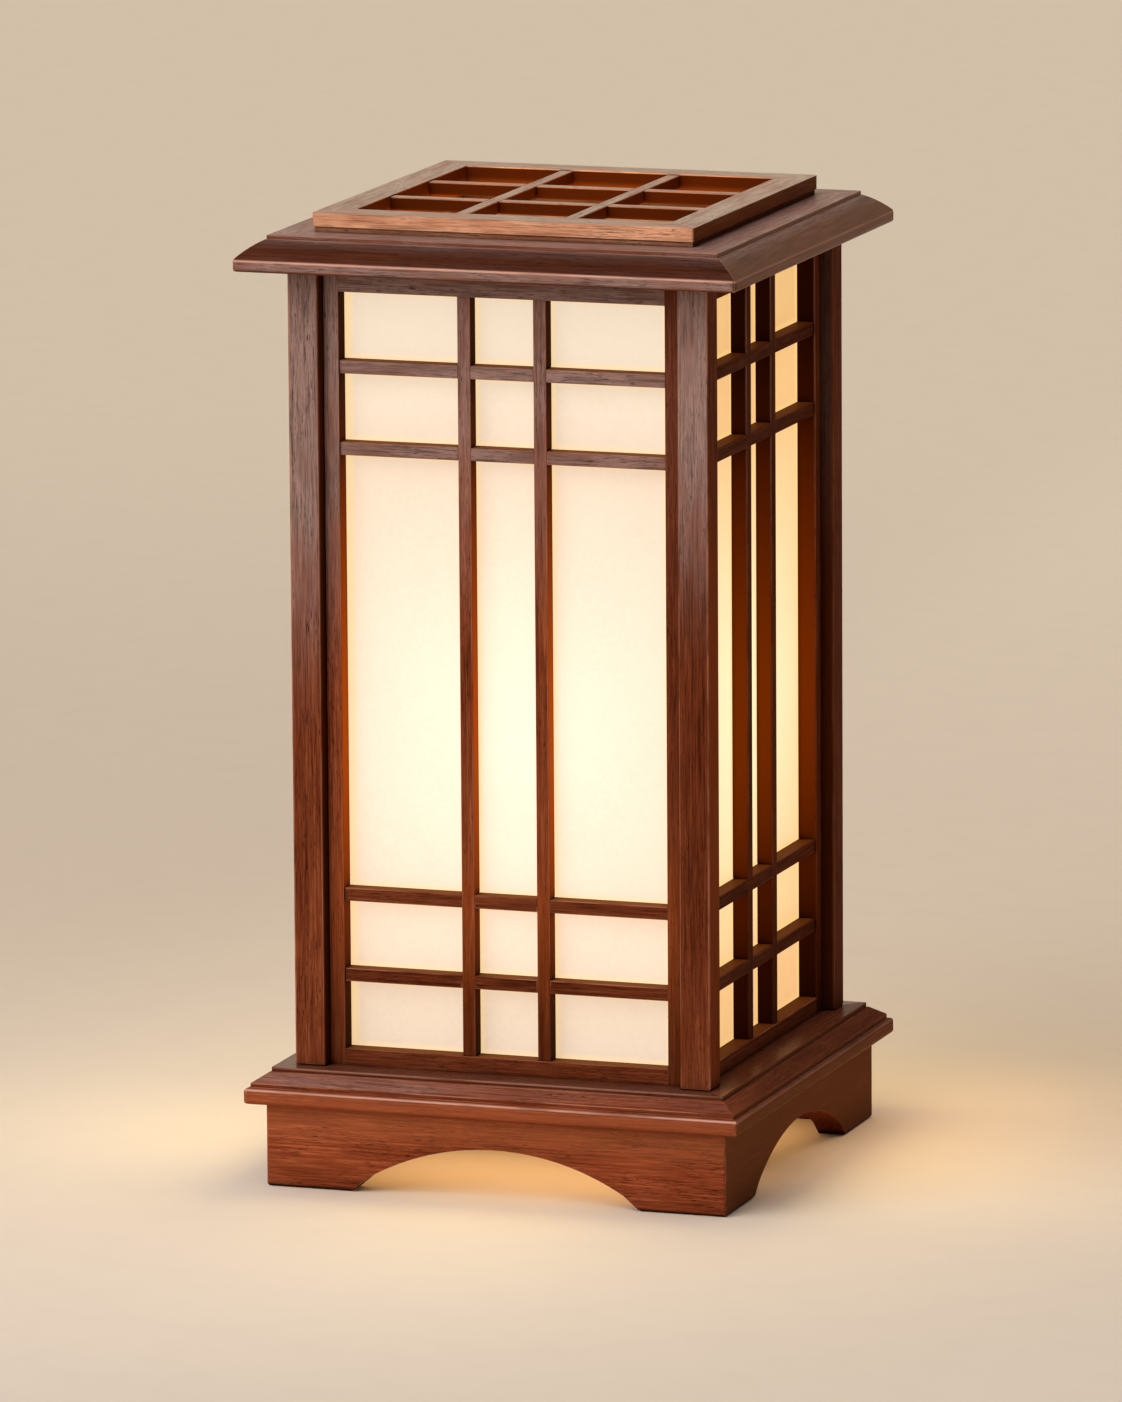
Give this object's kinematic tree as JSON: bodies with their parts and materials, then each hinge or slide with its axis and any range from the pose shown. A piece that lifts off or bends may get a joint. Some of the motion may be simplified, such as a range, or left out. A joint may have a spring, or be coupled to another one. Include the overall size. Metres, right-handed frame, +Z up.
{
  "type": "andon table lamp",
  "caption": "Square wooden andon table lamp with papered lattice panels, moulded roof and base, arched skirt, lift-off vent grille and a screw-in bulb inside.",
  "frame": {"origin": "on the floor under the middle of the lamp", "axes": "+Z up, the front panel faces -Y, +X to the right seen from the front"},
  "size_m": [0.244, 0.244, 0.457],
  "materials": {
    "frame_wood": "dark reddish-brown stain, satin lacquer",
    "lattice_wood": "dark reddish-brown stain, satin lacquer",
    "base_wood": "reddish-brown stain, satin lacquer",
    "grille_wood": "dark reddish-brown stain, satin lacquer",
    "inner_wood": "bare softwood",
    "paper": "translucent, lit from behind",
    "bulb_glass": "frosted, lit",
    "cap_metal": "plain",
    "shell_brass": "plain",
    "holder_plastic": "moulded, matt",
    "pipe_steel": "zinc plated",
    "screw_steel": "zinc plated"
  },
  "bodies": {
    "lamp": {"apron_front": "base_wood", "base_frame_front": "base_wood", "roof_frame_front": "frame_wood", "stile_left_front": "frame_wood", "stile_right_front": "frame_wood", "rail_bottom_front": "frame_wood", "rail_top_front": "frame_wood", "kumiko_upright_front": "lattice_wood", "kumiko_cross_front": "lattice_wood", "paper_front": "paper", "apron_right": "base_wood", "base_frame_right": "base_wood", "roof_frame_right": "frame_wood", "stile_left_right": "frame_wood", "stile_right_right": "frame_wood", "rail_bottom_right": "frame_wood", "rail_top_right": "frame_wood", "kumiko_upright_right": "lattice_wood", "kumiko_cross_right": "lattice_wood", "paper_right": "paper", "apron_back": "base_wood", "base_frame_back": "base_wood", "roof_frame_back": "frame_wood", "stile_left_back": "frame_wood", "stile_right_back": "frame_wood", "rail_bottom_back": "frame_wood", "rail_top_back": "frame_wood", "kumiko_upright_back": "lattice_wood", "kumiko_cross_back": "lattice_wood", "paper_back": "paper", "apron_left": "base_wood", "base_frame_left": "base_wood", "roof_frame_left": "frame_wood", "stile_left_left": "frame_wood", "stile_right_left": "frame_wood", "rail_bottom_left": "frame_wood", "rail_top_left": "frame_wood", "kumiko_upright_left": "lattice_wood", "kumiko_cross_left": "lattice_wood", "paper_left": "paper", "post_front_left": "frame_wood", "post_front_right": "frame_wood", "post_back_right": "frame_wood", "post_back_left": "frame_wood", "corner_blocks": "inner_wood", "lamp_bar": "inner_wood", "lamp_bar_screws": "screw_steel", "lamp_pipe": "pipe_steel", "pipe_nuts": "pipe_steel", "lamp_holder": "holder_plastic", "holder_screw_shell": "shell_brass", "holder_contact": "shell_brass"},
    "grille": {"grille_frame_front": "grille_wood", "grille_frame_right": "grille_wood", "grille_frame_back": "grille_wood", "grille_frame_left": "grille_wood", "grille_bars_long": "grille_wood", "grille_bars_cross": "grille_wood"},
    "bulb": {"bulb_cap": "cap_metal", "bulb_glass": "bulb_glass"}
  },
  "joints": [
    {"name": "grille_lift", "type": "slide", "parent": "lamp", "child": "grille", "axis": [0, 0, 1], "range_m": [0, 0.12]},
    {"name": "bulb_turn", "type": "hinge", "parent": "lamp", "child": "bulb", "pos_m": [0, 0, 0.15], "axis": [0, 0, 1], "continuous": true}
  ]
}
